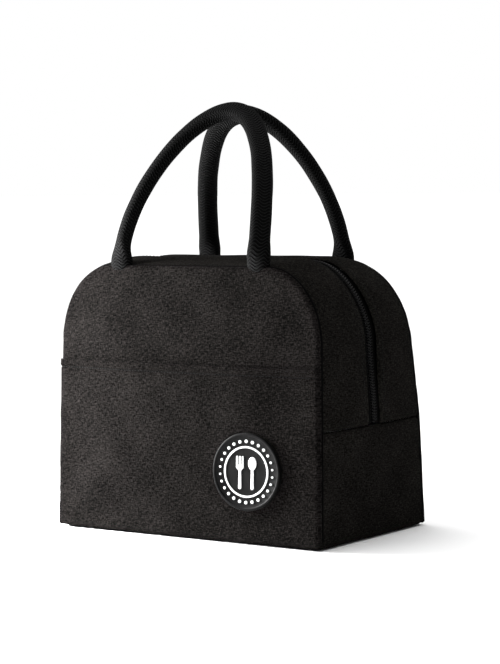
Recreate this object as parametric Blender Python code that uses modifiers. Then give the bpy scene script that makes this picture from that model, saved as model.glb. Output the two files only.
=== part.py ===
"""A soft insulated lunch bag with a zipped mouth, a slip pocket, two rope handles and a round badge.

Metres, +Z up. The front faces -Y. The origin is on the ground, under the middle of the base.
The bag's walls are three layers: woven fabric, foam and foil lining. A panel that folds when the mouth
opens is made in two pieces, a lower one that stays on the base and an upper one on a moving half.
"""

import math

import bmesh
import bpy
from mathutils import Matrix, Vector

MM = 0.001

# Driving dimensions of the body.
BASE_WIDTH = 230 * MM
BASE_DEPTH = 142 * MM
SEAM_TOP = 192.5 * MM  # height of the front and back panels
CROWN = 6 * MM  # how far the top rises between those two panels
SIDE_SWELL = 2.5 * MM  # how far the sides swell between them
SIDE_LEAN = 0.0147  # how far each side leans in, per unit of height
FRONT_LEAN = (0.031, 0.031)  # the same for the front wall, below the fold and above it
BACK_LEAN = (0.050, 0.175)  # the back wall leans in more, so the top is narrower than the base
TOP_SHIFT = -8 * MM  # how far forwards of the middle plane the zip runs along the top
CORNER_WIDTH = 45 * MM  # the rounded top corners are quarter ellipses
CORNER_HEIGHT = 55.5 * MM
BASE_CORNER = 6 * MM  # radius along the bottom edge of each side
LEAST_CORNER = 3 * MM  # and of the inner layers there
FOLD_HEIGHT = 80 * MM  # seam between base band and gussets, where the halves fold
GAP = 0.3 * MM  # clearance between pieces that touch
FOLD_GAP = 0.8 * MM  # clearance between the lower and the upper pieces of a wall

# Layers of the wall, from the outside in.
FABRIC = 1.2 * MM
FOAM = 4.0 * MM
LINING = 0.6 * MM
FOAM_INSET = FABRIC + GAP
LINING_INSET = FOAM_INSET + FOAM + GAP
BINDING_INSET = LINING_INSET + LINING + GAP
BINDING = (2.0 * MM, 7.0 * MM)  # thickness and width of the tape that binds an inner seam

# Pocket and badge.
POCKET_TOP = 123.5 * MM
POCKET_INSET = 0.6 * MM
BADGE_RADIUS = 27 * MM
BADGE_THICKNESS = 2.6 * MM
BADGE_CENTRE = (58 * MM, 51.5 * MM)  # across and up
BADGE_RING_RADIUS = 18 * MM
RELIEF = 0.5 * MM

# Zip.
ZIP_SLOT = 15 * MM  # between the folded edges of the two gussets
TAPE_THICKNESS = 0.7 * MM
TAPE_EDGES = (0.8 * MM, 13 * MM)  # from the middle of the zip
COIL_EDGES = (0.6 * MM, 3.0 * MM)
COIL_THICKNESS = 1.8 * MM
COIL_PROUD = 0.6 * MM
FOAM_FROM_ZIP = 14 * MM
SLIDER_HEIGHT = 92 * MM  # of the slider's middle, with the zip closed
SLIDER_SIZE = (10 * MM, 8 * MM)  # along and across the zip
PLATE = 0.8 * MM
POST = (2.0 * MM, 0.6 * MM)
BRIDGE_LENGTH = 7 * MM
BRIDGE_WIDTH = 1.8 * MM
BRIDGE_RISE = 2.5 * MM
BRIDGE_BAR = 0.9 * MM
PULL_LENGTH = 24 * MM
PULL_WIDTH = 7 * MM
PULL_THICKNESS = 1.0 * MM
PULL_WINDOW = (4.2 * MM, 2.6 * MM)

# Handles.
HANDLE_HALF_SPAN = 60 * MM
FRONT_FOOT = (-64.3 * MM, 198.7 * MM)  # along Y, and height
FRONT_TOP = (-7.3 * MM, 302.2 * MM)  # of the tube's middle line
BACK_FOOT = (47.3 * MM, 198.7 * MM)
BACK_TOP = (6.4 * MM, 300.4 * MM)
HANDLE_START = 6.5 * MM  # from the foot's axis to the tube's end
HANDLE_SECTION = (7.4 * MM, 5.4 * MM)  # half axes of the tube's oval section
HANDLE_WALL = 1.3 * MM
HANDLE_BOW = 1.5  # a higher power keeps a handle upright for longer before it leans in
HANDLE_ROUND = 1.8  # the power that shapes the arch: 2 for half an ellipse, less for a more pointed arch
ROOT_ROLL = (5.4 * MM, 16 * MM)  # radius and length of the rolled end at each foot
ROLL_ROUND = 1.5 * MM

# Steps of the outlines and meshes.
SIDE_STEPS = 3
CORNER_STEPS = 8
TOP_STEPS = 4
BASE_CORNER_STEPS = 3
ACROSS_STEPS = 4
BASE_ACROSS_STEPS = 8
HANDLE_STEPS = 26
RING_STEPS = 12
ROLL_STEPS = 20

FRONT, BACK = -1, 1
LEFT, RIGHT = -1, 1
LOWER, UPPER = 0, 1
WALL_LEAN = {FRONT: FRONT_LEAN, BACK: BACK_LEAN}

COLOURS = {
    "fabric": ((0.035, 0.032, 0.031), 0.95, 0.0),
    "webbing": ((0.008, 0.008, 0.008), 0.9, 0.0),
    "zip": ((0.006, 0.006, 0.006), 0.6, 0.0),
    "metal": ((0.02, 0.02, 0.02), 0.35, 1.0),
    "foam": ((0.85, 0.85, 0.83), 0.9, 0.0),
    "foil": ((0.75, 0.76, 0.78), 0.3, 0.9),
    "binding": ((0.02, 0.02, 0.02), 0.95, 0.0),
    "cord": ((0.8, 0.79, 0.75), 0.9, 0.0),
    "badge_black": ((0.007, 0.007, 0.007), 0.5, 0.0),
    "badge_white": ((0.9, 0.9, 0.9), 0.5, 0.0),
}


def clear_scene():
    for obj in list(bpy.data.objects):
        bpy.data.objects.remove(obj)


def new_collection(name):
    collection = bpy.data.collections.new(name)
    bpy.context.scene.collection.children.link(collection)
    return collection


def make_materials():
    made = {}
    for name, (colour, roughness, metallic) in COLOURS.items():
        material = bpy.data.materials.new(name)
        material.use_nodes = True
        shader = material.node_tree.nodes["Principled BSDF"]
        shader.inputs["Base Color"].default_value = (*colour, 1)
        shader.inputs["Roughness"].default_value = roughness
        shader.inputs["Metallic"].default_value = metallic
        made[name] = material
    return made


def add_object(name, data, material, place=None):
    obj = bpy.data.objects.new(name, data)
    PARTS.objects.link(obj)
    obj.data.materials.append(MATERIALS[material])
    obj.matrix_world = place or Matrix.Identity(4)
    return obj


def mesh_of(points, faces):
    mesh = bpy.data.meshes.new("shape")
    mesh.from_pydata([tuple(p) for p in points], [], faces)
    mesh.shade_smooth()
    mesh.set_sharp_from_angle(angle=math.radians(40))
    return mesh


# ---------------------------------------------------------------- outlines


def half_width(z):
    return BASE_WIDTH / 2 - SIDE_LEAN * z


def half_depth(z, side):
    """Distance of the front or the back wall's face from the middle plane at a height."""
    lower, upper = WALL_LEAN[side]
    return BASE_DEPTH / 2 - lower * min(z, FOLD_HEIGHT) - upper * max(z - FOLD_HEIGHT, 0)


def smooth(t):
    return t * t * (3 - 2 * t)


def zip_middle(z):
    """Where the middle of the zip lies along Y at a height."""
    shoulder = SEAM_TOP - CORNER_HEIGHT
    return TOP_SHIFT * smooth(min(max((z - shoulder) / CORNER_HEIGHT, 0), 1))


def bulge(y, z):
    """The share of the swell at a place across a band: 1 along the zip, 0 at both walls."""
    middle = zip_middle(z)
    side = BACK if y > middle else FRONT
    return 1 - ((y - middle) / (side * half_depth(z, side) - middle)) ** 2


def mirrored(right):
    """A right-hand run of (x, z, normal, swell) that ends on the middle line, and its mirror image."""
    left = [(-x, z, (-n[0], n[1]), swell) for x, z, n, swell in reversed(right[:-1])]
    return right + left


def arch(inset, low=FOLD_HEIGHT + FOLD_GAP / 2):
    """The doorway outline of the upper half, from its right foot to its left.

    Each point is (x, z, outward normal, swell).
    """
    middle_z = SEAM_TOP - CORNER_HEIGHT
    middle_x = half_width(middle_z) - CORNER_WIDTH
    right = []
    for i in range(SIDE_STEPS):
        z = low + (middle_z - low) * i / SIDE_STEPS
        right.append((half_width(z) - inset, z, (1, 0), SIDE_SWELL))
    for i in range(CORNER_STEPS + 1):
        share = i / CORNER_STEPS
        angle = share * math.pi / 2
        normal = Vector((math.cos(angle) / CORNER_WIDTH, math.sin(angle) / CORNER_HEIGHT)).normalized()
        x = middle_x + (CORNER_WIDTH - inset) * math.cos(angle)
        z = middle_z + (CORNER_HEIGHT - inset) * math.sin(angle)
        right.append((x, z, tuple(normal), SIDE_SWELL + (CROWN - SIDE_SWELL) * smooth(share)))
    for i in range(1, TOP_STEPS + 1):
        right.append((middle_x * (1 - i / TOP_STEPS), SEAM_TOP - inset, (0, 1), CROWN))
    return mirrored(right)


def trough(inset, high=FOLD_HEIGHT - FOLD_GAP / 2):
    """The U outline of the base, as (x, z, outward normal, swell), from its right top to its left top."""
    radius = max(BASE_CORNER - inset, LEAST_CORNER)
    middle_z = inset + radius
    middle_x = half_width(middle_z) - inset - radius
    right = []
    for i in range(SIDE_STEPS):
        z = high + (middle_z - high) * i / SIDE_STEPS
        right.append((half_width(z) - inset, z, (1, 0), SIDE_SWELL * z / high))
    for i in range(BASE_CORNER_STEPS + 1):
        angle = math.pi / 2 * i / BASE_CORNER_STEPS
        normal = (math.cos(angle), -math.sin(angle))
        right.append((middle_x + radius * normal[0], middle_z + radius * normal[1], normal, 0))
    right.append((0, inset, (0, -1), 0))
    return mirrored(right)


def plain(outline):
    return [(x, z) for x, z, _, _ in outline]


# ---------------------------------------------------------------- pieces of the body


def wall_panel(name, outline, outer, thickness, side, part, material):
    """A flat panel of the front or the back wall, its outer face that far inside the wall's face.

    The outline is drawn on the wall's slope, raised so that an inner layer keeps its heights.
    """
    lean = WALL_LEAN[side][part]
    foot = FOLD_HEIGHT if part == UPPER else 0
    depth = outer + thickness / 2
    curve = bpy.data.curves.new(name, "CURVE")
    curve.dimensions = "2D"
    curve.fill_mode = "BOTH"
    curve.extrude = thickness / 2
    spline = curve.splines.new("POLY")
    spline.points.add(len(outline) - 1)
    for point, (x, z) in zip(spline.points, outline):
        point.co = (x * -side, (z - foot) * math.hypot(1, lean) + depth * lean, 0, 1)
    spline.use_cyclic_u = True
    turn = Matrix.Rotation(math.pi if side == BACK else 0, 4, "Z")
    tilt = Matrix.Rotation(math.pi / 2 - math.atan(lean), 4, "X")
    stand = Matrix.Translation((0, -half_depth(foot, side), foot))
    return add_object(name, curve, material, turn @ stand @ tilt @ Matrix.Translation((0, 0, -depth)))


def strip(name, outline, thickness, edges, material, across=ACROSS_STEPS):
    """A band that follows an outline, which is its outer face, swollen between the front and the back.

    edges are two functions that give the places of its edges along Y at a height. It is thick inwards.
    """
    points = []
    for x, z, normal, swell in outline:
        start, end = sorted(edge(z) for edge in edges)
        for j in range(across + 1):
            y = start + (end - start) * j / across
            out = swell * bulge(y, z)
            points.append((x + normal[0] * out, y, z + normal[1] * out))
    row = across + 1
    faces = []
    for i in range(len(outline) - 1):
        for j in range(across):
            a = i * row + j
            faces.append((a, a + 1, a + row + 1, a + row))
    obj = add_object(name, mesh_of(points, faces), material)
    shell = obj.modifiers.new("thickness", "SOLIDIFY")
    shell.thickness = thickness
    shell.offset = -1
    shell.use_even_offset = True
    return obj


def flip_normals(obj):
    obj.data.flip_normals()
    return obj


def by_wall(side, inset):
    """The edge of a band where it meets the front or the back wall's layer of that inset."""
    return lambda z: side * (half_depth(z, side) - inset - GAP)


def by_zip(side, distance):
    """The edge of a band at a distance from the middle of the zip."""
    return lambda z: zip_middle(z) + side * distance


def build_wall(word, side):
    """The front or the back wall: fabric, foam and lining, each in a lower and an upper piece."""
    layers = (
        ("panel", 0, FABRIC, "fabric"),
        ("foam", FOAM_INSET, FOAM, "foam"),
        ("lining", LINING_INSET, LINING, "foil"),
    )
    for layer, inset, thickness, material in layers:
        wall_panel(f"{word}_{layer}_lower", plain(trough(inset)), inset, thickness, side, LOWER, material)
        wall_panel(f"{word}_{layer}_upper", plain(arch(inset)), inset, thickness, side, UPPER, material)


def build_base_band():
    """The band that makes the bottom and the lower sides."""
    for name, inset, thickness, material in (
        ("base_band", 0, FABRIC, "fabric"),
        ("base_band_foam", FOAM_INSET, FOAM, "foam"),
        ("base_band_lining", LINING_INSET, LINING, "foil"),
    ):
        edges = (by_wall(FRONT, inset + thickness), by_wall(BACK, inset + thickness))
        flip_normals(strip(name, trough(inset), thickness, edges, material, BASE_ACROSS_STEPS))


def build_gusset(word, side):
    """One half of the band that makes the top and the upper sides, between a wall and the zip."""
    for name, inset, thickness, near, material in (
        (f"gusset_{word}", 0, FABRIC, ZIP_SLOT / 2, "fabric"),
        (f"gusset_{word}_foam", FOAM_INSET, FOAM, FOAM_FROM_ZIP, "foam"),
        (f"gusset_{word}_lining", LINING_INSET, LINING, FOAM_FROM_ZIP, "foil"),
    ):
        strip(name, arch(inset), thickness, (by_zip(side, near), by_wall(side, inset + thickness)), material)


def build_bindings(word, side):
    """The tape that binds the seam between a wall and the bands, inside the bag."""
    thickness, width = BINDING
    face = LINING_INSET + LINING
    edges = (by_wall(side, face + width), by_wall(side, face))
    strip(f"binding_{word}_upper", arch(BINDING_INSET), thickness, edges, "binding", 1)
    flip_normals(strip(f"binding_{word}_lower", trough(BINDING_INSET), thickness, edges, "binding", 1))


def build_pocket():
    """The slip pocket on the front wall, open along its top edge."""
    outer = -(FABRIC + GAP)
    lower = plain(trough(POCKET_INSET))
    sides = [(half_width(z) - POCKET_INSET, z) for z in (FOLD_HEIGHT + FOLD_GAP / 2, POCKET_TOP)]
    upper = sides + [(-x, z) for x, z in reversed(sides)]
    wall_panel("pocket_lower", lower, outer, FABRIC, FRONT, LOWER, "fabric")
    wall_panel("pocket_upper", upper, outer, FABRIC, FRONT, UPPER, "fabric")


# ---------------------------------------------------------------- badge


def badge_place(height):
    """The badge's frame: x across, y up the wall, z out of it, that far outside the pocket's face."""
    across, up = BADGE_CENTRE
    tilt = Matrix.Rotation(math.pi / 2 - math.atan(WALL_LEAN[FRONT][LOWER]), 4, "X")
    out = FABRIC + GAP + height
    return Matrix.Translation((0, -BASE_DEPTH / 2, 0)) @ tilt @ Matrix.Translation((across, up, out))


def flat_shape(name, loops, thickness, material, place):
    """Flat loops of points, the inner ones as holes, given a thickness."""
    curve = bpy.data.curves.new(name, "CURVE")
    curve.dimensions = "2D"
    curve.fill_mode = "BOTH"
    curve.extrude = thickness / 2
    for loop in loops:
        spline = curve.splines.new("POLY")
        spline.points.add(len(loop) - 1)
        for point, (x, y) in zip(spline.points, loop):
            point.co = (x, y, 0, 1)
        spline.use_cyclic_u = True
    return add_object(name, curve, material, place @ Matrix.Translation((0, 0, thickness / 2)))


def arc(centre, radius, start, end, steps):
    """Points on a circle, or on an ellipse where radius is a pair, from one angle to another in degrees."""
    rx, ry = radius if isinstance(radius, tuple) else (radius, radius)
    angles = [math.radians(start + (end - start) * i / steps) for i in range(steps + 1)]
    return [(centre[0] + rx * math.cos(a), centre[1] + ry * math.sin(a)) for a in angles]


def spoon_outline(x):
    """A spoon that stands on end at x, as a bowl over a handle."""
    stem, bottom = 0.9 * MM, -11 * MM
    bowl = arc((x, 6 * MM), (3.2 * MM, 4.6 * MM), -70, 250, 14)
    foot = arc((x, bottom), stem * 1.3, 180, 360, 5)
    return bowl + foot


def fork_outline(x):
    """A fork that stands on end at x, with three prongs."""
    prong, pitch, top, root = 0.65 * MM, 2.3 * MM, 10.6 * MM, 4.6 * MM
    outline = arc((x, -11 * MM), 1.17 * MM, 180, 360, 5)
    outline += [(x + 0.9 * MM, 0), (x + pitch + prong, 2.4 * MM)]
    for k in (1, 0, -1):
        centre = x + k * pitch
        if k < 1:
            outline.append((centre + prong, root))
        outline += arc((centre, top), prong, 0, 180, 3)
        if k > -1:
            outline.append((centre - prong, root))
    outline += [(x - pitch - prong, 2.4 * MM), (x - 0.9 * MM, 0)]
    return outline


def build_badge():
    full = (0, 360 - 360 / 40)
    disc = arc((0, 0), BADGE_RADIUS, *full, 39)
    flat_shape("badge_disc", [disc], BADGE_THICKNESS, "badge_black", badge_place(GAP))
    place = badge_place(2 * GAP + BADGE_THICKNESS)
    ring = [arc((0, 0), BADGE_RING_RADIUS + half, *full, 39) for half in (0.8 * MM, -0.8 * MM)]
    flat_shape("badge_ring", ring, RELIEF, "badge_white", place)
    flat_shape("badge_spoon", [spoon_outline(5 * MM)], RELIEF, "badge_white", place)
    flat_shape("badge_fork", [fork_outline(-5 * MM)], RELIEF, "badge_white", place)


# ---------------------------------------------------------------- zip


def build_zip_side(word, side):
    """One tape with its coil, from one side seam over the top to the other."""
    tape = [by_zip(side, distance) for distance in TAPE_EDGES]
    coil = [by_zip(side, distance) for distance in COIL_EDGES]
    strip(f"zip_tape_{word}", arch(FOAM_INSET), TAPE_THICKNESS, tape, "zip", 1)
    strip(f"zip_coil_{word}", arch(-COIL_PROUD), COIL_THICKNESS, coil, "zip", 1)


def slider_place():
    """The slider's frame on the left side: x up along the zip, y across it, z out of the bag."""
    x = -(half_width(SLIDER_HEIGHT) + SIDE_SWELL)
    up = Vector((SIDE_LEAN, 0, 1)).normalized()
    across = Vector((0, 1, 0))
    out = up.cross(across)
    place = Matrix((up, across, out)).transposed().to_4x4()
    place.translation = (x, 0, SLIDER_HEIGHT)
    return place


def box_mesh(low, high):
    mesh = bpy.data.meshes.new("box")
    shape = bmesh.new()
    size = [b - a for a, b in zip(low, high)]
    middle = [(a + b) / 2 for a, b in zip(low, high)]
    matrix = Matrix.Translation(middle) @ Matrix.Diagonal((*size, 1))
    bmesh.ops.create_cube(shape, size=1, matrix=matrix)
    shape.to_mesh(mesh)
    shape.free()
    return mesh


def add_cutter(name, mesh, place):
    cutter = bpy.data.objects.new(name, mesh)
    CUTTERS.objects.link(cutter)
    cutter.matrix_world = place
    cutter.hide_render = True
    cutter.display_type = "WIRE"
    return cutter


def combine(obj, other, operation):
    modifier = obj.modifiers.new(operation.lower(), "BOOLEAN")
    modifier.object = other
    modifier.operation = operation


# Heights over the gusset's outer face, for the slider's plates, bridge and pull.
INNER_PLATE = -(FOAM_INSET + TAPE_THICKNESS + GAP + PLATE)
OUTER_PLATE = COIL_PROUD + GAP
PLATE_FACE = OUTER_PLATE + PLATE
PULL_AXIS = PLATE_FACE + GAP + PULL_THICKNESS / 2


def build_slider():
    """The slider: two plates joined by a post, with a bridge over the outer plate for the pull."""
    place = slider_place()
    length, width = SLIDER_SIZE
    bite = 0.3 * MM

    def block(along, across, up):
        return box_mesh((along[0], -across / 2, up[0]), (along[1], across / 2, up[1]))

    outer = block((-length / 2, length / 2), width, (OUTER_PLATE, PLATE_FACE))
    slider = add_object("zip_slider", outer, "metal", place)
    inner_up = (INNER_PLATE, INNER_PLATE + PLATE)
    post_up = (INNER_PLATE + bite, OUTER_PLATE + bite)
    post_along = (-length / 2 + 0.5 * MM, -length / 2 + 0.5 * MM + POST[0])
    pieces = {"inner_plate": block((-length / 2, length / 2), width - 1 * MM, inner_up)}
    pieces["post"] = block(post_along, POST[1], post_up)
    half = BRIDGE_LENGTH / 2
    top = PLATE_FACE + BRIDGE_RISE
    for word, near in (("low", -half), ("high", half - BRIDGE_BAR)):
        leg_up = (PLATE_FACE - bite, top - bite)
        pieces[f"bridge_leg_{word}"] = block((near, near + BRIDGE_BAR), BRIDGE_WIDTH, leg_up)
    pieces["bridge_bar"] = block((-half, half), BRIDGE_WIDTH, (top - BRIDGE_BAR, top))
    for word, mesh in pieces.items():
        combine(slider, add_cutter(f"slider_{word}", mesh, place), "UNION")


def build_pull():
    """The pull: a tab that hangs from its crossbar under the slider's bridge."""
    window_length, window_width = PULL_WINDOW
    bar = PULL_THICKNESS / 2
    half = PULL_WIDTH / 2
    corner = 1.5 * MM
    place = slider_place() @ Matrix.Translation((0, 0, PULL_AXIS))
    outline = arc((-PULL_LENGTH + half, 0), half, 90, 270, 8)
    outline += arc((bar - corner, -half + corner), corner, 270, 360, 3)
    outline += arc((bar - corner, half - corner), corner, 0, 90, 3)
    low, high = -bar - window_length, -bar
    side = window_width / 2
    window = [(low, -side), (high, -side), (high, side), (low, side)]
    place = place @ Matrix.Translation((0, 0, -PULL_THICKNESS / 2))
    flat_shape("zip_pull", [outline, window], PULL_THICKNESS, "metal", place)


# ---------------------------------------------------------------- handles


def handle_path(foot, top):
    """The middle line of a handle, an arch that leans in. foot and top are given along Y and in height."""
    lean, rise = top[0] - foot[0], top[1] - foot[1]
    first = math.asin(HANDLE_START / rise)
    path = []
    for i in range(HANDLE_STEPS + 1):
        angle = first + (math.pi - 2 * first) * i / HANDLE_STEPS
        up = min(math.sin(angle), 1)
        across = math.copysign(math.sqrt(1 - up**HANDLE_ROUND), math.cos(angle))
        path.append(Vector((HANDLE_HALF_SPAN * across, foot[0] + lean * up**HANDLE_BOW, foot[1] + rise * up)))
    return path


def oval_rings(path, side, section):
    """Rings of an oval section along a path. Its long axis points half outwards, half into the arch."""
    rings = []
    for i, point in enumerate(path):
        along = (path[min(i + 1, len(path) - 1)] - path[max(i - 1, 0)]).normalized()
        outwards = Vector((0, side, 0))
        outwards = (outwards - along * outwards.dot(along)).normalized()
        inwards = along.cross(outwards) * side
        long_axis = (outwards + inwards).normalized()
        short_axis = along.cross(long_axis)
        ring = []
        for j in range(RING_STEPS):
            angle = 2 * math.pi * j / RING_STEPS
            long_reach = long_axis * section[0] * math.cos(angle)
            ring.append(point + long_reach + short_axis * section[1] * math.sin(angle))
        rings.append(ring)
    return rings


def lofted(name, rings, material, capped, joined):
    """A surface through rings: capped at both ends, or with its last ring joined to its first."""
    n = len(rings[0])
    points = [p for ring in rings for p in ring]
    faces = []
    count = len(rings) if joined else len(rings) - 1
    for i in range(count):
        a, b = i * n, (i + 1) % len(rings) * n
        faces += [(a + j, a + (j + 1) % n, b + (j + 1) % n, b + j) for j in range(n)]
    if capped:
        faces.append(tuple(reversed(range(n))))
        faces.append(tuple(range(len(points) - n, len(points))))
    obj = add_object(name, mesh_of(points, faces), material)
    shape = bmesh.new()
    shape.from_mesh(obj.data)
    bmesh.ops.recalc_face_normals(shape, faces=shape.faces)
    shape.to_mesh(obj.data)
    shape.free()
    return obj


def build_root_roll(name, foot):
    """A handle's end: webbing rolled about the line that the handle swings on, and sewn to the seam."""
    radius, length = ROOT_ROLL
    mesh = bpy.data.meshes.new(name)
    shape = bmesh.new()
    bmesh.ops.create_cone(
        shape, cap_ends=True, segments=ROLL_STEPS, radius1=radius, radius2=radius, depth=length
    )
    shape.to_mesh(mesh)
    shape.free()
    roll = add_object(name, mesh, "webbing", Matrix.Translation(foot) @ Matrix.Rotation(math.pi / 2, 4, "Y"))
    round_off = roll.modifiers.new("round", "BEVEL")
    round_off.width = ROLL_ROUND
    round_off.segments = 2


def build_handle(word, side, foot, top):
    """A handle: a webbing cover round a cord, with a rolled end at each foot."""
    path = handle_path(foot, top)
    bore = tuple(half - HANDLE_WALL for half in HANDLE_SECTION)
    cord = tuple(half - GAP for half in bore)
    outside = oval_rings(path, side, HANDLE_SECTION)
    inside = oval_rings(path, side, bore)
    lofted(f"handle_{word}_cover", outside + inside[::-1], "webbing", False, True)
    lofted(f"handle_{word}_cord", oval_rings(path, side, cord), "cord", True, False)
    for hand, sign in (("left", LEFT), ("right", RIGHT)):
        build_root_roll(f"handle_{word}_end_{hand}", Vector((sign * HANDLE_HALF_SPAN, *foot)))


# ---------------------------------------------------------------- the whole bag

clear_scene()
PARTS = new_collection("lunch_bag")
CUTTERS = new_collection("cutters")
MATERIALS = make_materials()

build_base_band()
build_pocket()
build_badge()
for wall_word, wall_side in (("front", FRONT), ("back", BACK)):
    build_wall(wall_word, wall_side)
    build_gusset(wall_word, wall_side)
    build_bindings(wall_word, wall_side)
    build_zip_side(wall_word, wall_side)
build_handle("front", FRONT, FRONT_FOOT, FRONT_TOP)
build_handle("back", BACK, BACK_FOOT, BACK_TOP)
build_slider()
build_pull()
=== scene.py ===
"""The insulated lunch bag's looks: sewn covers, zip, padded handles, badge and foil lining."""

import math

import bmesh
import bpy
import numpy as np
from mathutils import Matrix, Vector, noise

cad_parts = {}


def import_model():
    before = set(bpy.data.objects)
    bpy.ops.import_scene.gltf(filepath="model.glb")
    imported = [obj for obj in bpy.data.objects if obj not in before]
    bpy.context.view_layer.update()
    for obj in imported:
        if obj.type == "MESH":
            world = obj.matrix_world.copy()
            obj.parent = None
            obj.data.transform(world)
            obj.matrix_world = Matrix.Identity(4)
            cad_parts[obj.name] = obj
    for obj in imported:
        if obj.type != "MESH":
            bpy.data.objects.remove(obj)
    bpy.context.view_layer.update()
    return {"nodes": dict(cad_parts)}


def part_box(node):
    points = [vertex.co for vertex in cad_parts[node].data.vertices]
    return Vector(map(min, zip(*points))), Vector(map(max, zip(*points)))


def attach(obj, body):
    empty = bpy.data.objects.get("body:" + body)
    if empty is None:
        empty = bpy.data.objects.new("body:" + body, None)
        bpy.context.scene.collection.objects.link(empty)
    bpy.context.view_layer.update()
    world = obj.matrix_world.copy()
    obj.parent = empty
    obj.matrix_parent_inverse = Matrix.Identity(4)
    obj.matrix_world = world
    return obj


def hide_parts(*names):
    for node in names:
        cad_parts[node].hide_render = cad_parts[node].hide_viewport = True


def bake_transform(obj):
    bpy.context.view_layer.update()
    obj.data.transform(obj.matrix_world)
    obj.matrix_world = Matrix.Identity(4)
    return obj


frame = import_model()

MM = 0.001

# ---------------- sizes read from the frame

BODY_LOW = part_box("front_panel_lower")[0]
HALF_WIDTH = -BODY_LOW.x
HALF_DEPTH = -BODY_LOW.y
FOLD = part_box("gusset_front")[0].z
SEAM_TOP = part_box("front_panel_upper")[1].z
POCKET_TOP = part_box("pocket_upper")[1].z
FRONT_SIDE, BACK_SIDE = -1, 1


def middle(name):
    low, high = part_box(name)
    return (low + high) / 2


WALLS = (("front", FRONT_SIDE), ("back", BACK_SIDE))
HANDLE_FOOT = {side: middle(f"handle_{word}_end_right") for word, side in WALLS}
HANDLE_FOOT[FRONT_SIDE].y += 3.4 * MM  # the webbing comes out behind the seam
BADGE = middle("badge_disc")
BADGE_RADIUS = (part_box("badge_disc")[1].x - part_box("badge_disc")[0].x) / 2
BADGE_TURN = math.radians(3.5)  # it follows the swell of the pocket
ART_EDGE = 0.12 * MM  # softening of the artwork's edges

# Shape of the body.
SIDE_LEAN = 0.0147
WALL_LEAN = {FRONT_SIDE: (0.031, 0.031), BACK_SIDE: (0.050, 0.175)}  # below the fold and above it
FOLD_SOFTNESS = 5 * MM
FOLD_ZONE = 9 * MM  # height of the cloth that bends when the mouth opens
TOP_SHIFT = -8 * MM  # how far forwards of the middle plane the zip runs along the top
CORNER_WIDTH = 45 * MM
CORNER_HEIGHT = 55.5 * MM
CORNER_RUN = 78 * MM  # about the length of a rounded top corner
SHOULDER = SEAM_TOP - CORNER_HEIGHT
CORNER_X = HALF_WIDTH - SIDE_LEAN * SHOULDER - CORNER_WIDTH
BASE_CORNER = 5 * MM
SIDE_SWELL = 2.5 * MM
CROWN = 6.5 * MM
ZIP_VALLEY = 2.6 * MM
VALLEY_REACH = 15 * MM
VALLEY_RISE = 60 * MM  # height above the fold at which the zip's valley has its full depth
ZIP_EDGE = 7.6 * MM
ZIP_FOLD = (2.2 * MM, 1.3 * MM)  # width and depth of the gussets' turned edges beside the zip
ZIP_SINK = 1.4 * MM

# Sewn fabric.
CLOTH = 1.2 * MM
SEAM_GAP = 0.35 * MM
BASE_GAP = 0.05 * MM  # between the base and the gussets, too small to see when the mouth opens
TUCK_WIDTH = 3.4 * MM  # how far from a seam the fabric starts to turn in
TUCK_DEPTH = 2.4 * MM
SEAM_COLUMNS = 15
LOW_SEAM = (4 * MM, 1.6 * MM)  # width and depth of the turn beside the seam round the base
SEAM_SET = 3.2 * MM  # how far behind the walls' rolled edges the bands' seams lie
# The seam strips are painted shadow: near-black strips sunk in the grooves beside the walls.
SEAM_SHADOW_STRIP = (0.9 * MM, 1.3 * MM)  # half the painted-shadow strip's thickness and half its width
SEAM_SHADOW_SET = 4.2 * MM
SEAM_SHADOW_SINK = 1.15 * MM
SEAM_SHADOW_FOOT = 6 * MM
FACE_PUFF = {FRONT_SIDE: 4.2 * MM, BACK_SIDE: 4.0 * MM}
PUFF_REACH = 78 * MM
FACE_WAVES = (0.5 * MM, 46 * MM)  # height and size of the slow unevenness of a wall
BAND_WAVES = (0.55 * MM, 34 * MM)
PUCKER = 0.45 * MM
PUCKER_SIZE = 8.5 * MM
PUCKER_REACH = 10 * MM
BOTTOM_ROLL = 1.2 * MM  # height of the seam along the bottom edge

# The pocket's open top.
POCKET_INSET = 0.4 * MM
HEM = 5.7 * MM
HEM_THICKNESS = 0.7 * MM
HEM_ROWS = np.array([7.2, 6.4, 6.0, 5.7, 5.3, 4.4, 2.6, 1.2, 0.5, 0.15]) * MM
GROOVE = (0.9 * MM, 0.6 * MM)  # depth and half width of the stitched groove
GAPE = 1.1 * MM
GAPE_REACH = 30 * MM

# Thread stitches: pitch, length and radius.
POCKET_STITCH = (2.6 * MM, 1.7 * MM, 0.36 * MM)
COIL_STITCH = (2.4 * MM, 1.7 * MM, 0.2 * MM)
ZIP_TOPSTITCH = (3.2 * MM, 2.3 * MM, 0.22 * MM)

# Linings, seen when the bag is open.
LINING_INSET = 5.8 * MM
LINING = 0.6 * MM
BINDING_INSET = 6.7 * MM
BINDING = (1.6 * MM, 7.5 * MM)  # thickness and width
FOIL_WAVES = (0.7 * MM, 22 * MM)

# Grids.
FINE = 2.2 * MM
COARSE = 4.5 * MM
FOIL_ROWS, FOIL_COLUMNS = 30, 50
TOPSTITCH_COLUMN = 6  # the first column of a gusset past its turned edge


# ---------------- outlines


def half_width(z):
    return HALF_WIDTH - SIDE_LEAN * z


def half_depth(z, side):
    """Distance of the front or back wall from the middle plane: two slopes, with a soft bend at the fold."""
    lower, upper = WALL_LEAN[side]
    above = FOLD_SOFTNESS * np.logaddexp(0, (z - FOLD) / FOLD_SOFTNESS)
    return HALF_DEPTH - lower * z - (upper - lower) * above


def smooth(t):
    t = np.clip(t, 0, 1)
    return t * t * (3 - 2 * t)


def zip_middle(z):
    """Where the middle of the zip lies along Y at a height."""
    return TOP_SHIFT * smooth((z - SHOULDER) / CORNER_HEIGHT)


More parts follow.
